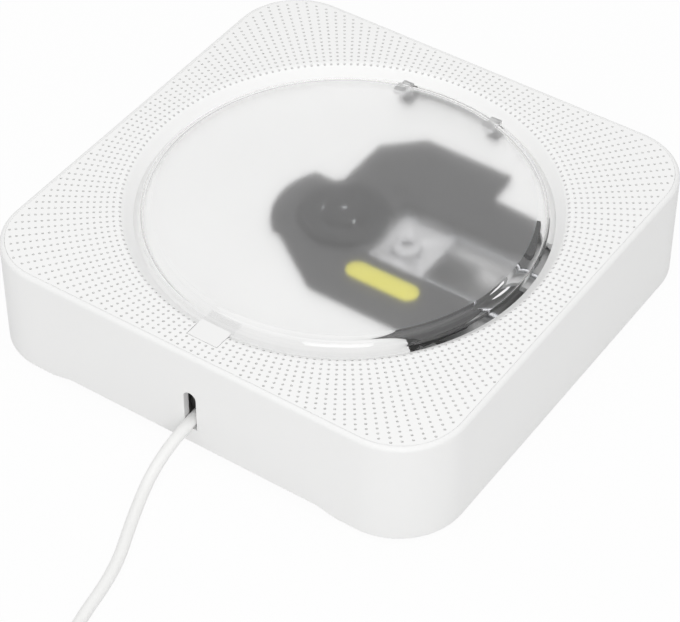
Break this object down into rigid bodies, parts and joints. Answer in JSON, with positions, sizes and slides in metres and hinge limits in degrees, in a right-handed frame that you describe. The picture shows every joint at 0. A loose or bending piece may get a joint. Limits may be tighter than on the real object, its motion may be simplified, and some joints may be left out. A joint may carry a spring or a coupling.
{
  "type": "wall mounted cd player",
  "caption": "Square wall disc player with a round frosted lid in a dished perforated face, open turntable mechanism under it and a pull cord below.",
  "frame": {"origin": "middle of the surface that the rear feet stand on", "axes": "+Z out of the lid side, -Y towards the cord side, which hangs down, +Y towards the lid's hinge, +X to the right as seen from the front"},
  "size_m": [0.1871, 0.3208, 0.041],
  "materials": {
    "case_white": "fine matt white moulding",
    "panel_white": "satin white moulding, perforated",
    "well_white": "satin white moulding",
    "clear_lid": "clear plastic, frosted on its flat top",
    "grip_white": "white finger tab",
    "hinge_dark": "dark grey moulding",
    "key_white": "white moulded keys",
    "deck_black": "black textured moulding",
    "label_yellow": "bare yellow film",
    "pad_rubber": "black rubber",
    "steel": "turned steel",
    "motor_can": "plated can",
    "magnet": "ferrite",
    "cone": "pressed paper",
    "gear_nylon": "natural nylon",
    "lens_frame": "black moulding",
    "lens": "coated lens",
    "board_green": "solder mask",
    "component_black": "component bodies",
    "flex": "flat cable",
    "inner_plastic": "grey moulding",
    "cord_white": "white soft jacket",
    "plug_metal": "plated shell"
  },
  "bodies": {
    "case": {"outer_housing": "case_white", "control_strip": "case_white", "speaker_grille": "panel_white", "rear_cover": "case_white", "rubber_feet": "pad_rubber", "case_screws": "steel", "disc_well": "well_white", "well_screws": "steel", "hinge_pin": "steel", "deck_cover": "deck_black", "blank_label": "label_yellow", "spindle_motor": "motor_can", "mechanism_chassis": "deck_black", "rubber_dampers": "pad_rubber", "damper_screws": "steel", "main_guide_rod": "steel", "side_guide_rod": "steel", "feed_axle": "steel", "feed_motor": "motor_can", "main_board": "board_green", "board_components": "component_black", "flex_cable": "flex", "button_board": "board_green", "tact_switches": "component_black", "headphone_jack": "component_black", "switch_bracket": "inner_plastic", "return_spring": "steel", "pull_switch": "component_black", "speaker_basket_left": "motor_can", "speaker_basket_right": "motor_can", "speaker_cone_left": "cone", "speaker_cone_right": "cone", "speaker_magnet_left": "magnet", "speaker_magnet_right": "magnet"},
    "lid": {"dust_cover": "clear_lid", "lid_grip": "grip_white", "lid_hinge_arms": "hinge_dark"},
    "spindle": {"turntable": "deck_black", "disc_pad": "pad_rubber", "spindle_shaft": "steel"},
    "ball_1": {"clamp_ball_1": "steel"},
    "ball_2": {"clamp_ball_2": "steel"},
    "ball_3": {"clamp_ball_3": "steel"},
    "sled": {"pickup_sled": "deck_black"},
    "lens": {"lens_holder": "lens_frame", "objective_lens": "lens"},
    "gear": {"feed_gear": "gear_nylon"},
    "pinion": {"feed_pinion": "gear_nylon"},
    "slider": {"pull_slider": "inner_plastic", "cord_ferrule": "cord_white", "power_cord": "cord_white", "cord_coil": "cord_white", "plug_grip": "cord_white", "plug_shell": "plug_metal"},
    "key_volume_down": {"button_volume_down": "key_white"},
    "key_volume_up": {"button_volume_up": "key_white"},
    "key_track_back": {"button_track_back": "key_white"},
    "key_play": {"button_play": "key_white"},
    "key_track_forward": {"button_track_forward": "key_white"}
  },
  "joints": [
    {"name": "lid_hinge", "type": "hinge", "parent": "case", "child": "lid", "pos_m": [0, 0.0745, 0.0359], "axis": [-1, 0, 0], "range_deg": [0, 95]},
    {"name": "disc_spin", "type": "hinge", "parent": "case", "child": "spindle", "pos_m": [0, 0, 0.03], "axis": [0, 0, 1], "continuous": true},
    {"name": "sled_travel", "type": "slide", "parent": "case", "child": "sled", "axis": [1, 0, 0], "range_m": [0, 0.0335]},
    {"name": "lens_focus", "type": "slide", "parent": "sled", "child": "lens", "axis": [0, 0, 1], "range_m": [-0.0004, 0.0005], "stiffness_N_per_m": 20},
    {"name": "gear_spin", "type": "hinge", "parent": "case", "child": "gear", "pos_m": [0.024, -0.0185, 0.025], "axis": [0, 0, 1], "range_deg": [-455, 30]},
    {"name": "pinion_spin", "type": "hinge", "parent": "case", "child": "pinion", "pos_m": [0.03699, -0.026, 0.022], "axis": [0, 0, 1], "range_deg": [-90, 1800]},
    {"name": "cord_pull", "type": "slide", "parent": "case", "child": "slider", "axis": [0, -1, 0], "range_m": [0, 0.003], "stiffness_N_per_m": 400},
    {"name": "ball_1_press", "type": "slide", "parent": "spindle", "child": "ball_1", "axis": [0, -1, 0], "range_m": [0, 0.0003], "stiffness_N_per_m": 100},
    {"name": "ball_2_press", "type": "slide", "parent": "spindle", "child": "ball_2", "axis": [0.866, 0.5, 0], "range_m": [0, 0.0003], "stiffness_N_per_m": 100},
    {"name": "ball_3_press", "type": "slide", "parent": "spindle", "child": "ball_3", "axis": [-0.866, 0.5, 0], "range_m": [0, 0.0003], "stiffness_N_per_m": 100},
    {"name": "press_volume_down", "type": "slide", "parent": "case", "child": "key_volume_down", "axis": [0, -1, 0], "range_m": [0, 0.0007], "stiffness_N_per_m": 400},
    {"name": "press_volume_up", "type": "slide", "parent": "case", "child": "key_volume_up", "axis": [0, -1, 0], "range_m": [0, 0.0007], "stiffness_N_per_m": 400},
    {"name": "press_track_back", "type": "slide", "parent": "case", "child": "key_track_back", "axis": [0, -1, 0], "range_m": [0, 0.0007], "stiffness_N_per_m": 400},
    {"name": "press_play", "type": "slide", "parent": "case", "child": "key_play", "axis": [0, -1, 0], "range_m": [0, 0.0007], "stiffness_N_per_m": 400},
    {"name": "press_track_forward", "type": "slide", "parent": "case", "child": "key_track_forward", "axis": [0, -1, 0], "range_m": [0, 0.0007], "stiffness_N_per_m": 400}
  ],
  "couplings": [
    {"joint": "gear_spin", "follows": "sled_travel", "rad_per_m": -222.22},
    {"joint": "pinion_spin", "follows": "sled_travel", "rad_per_m": 888.89}
  ]
}
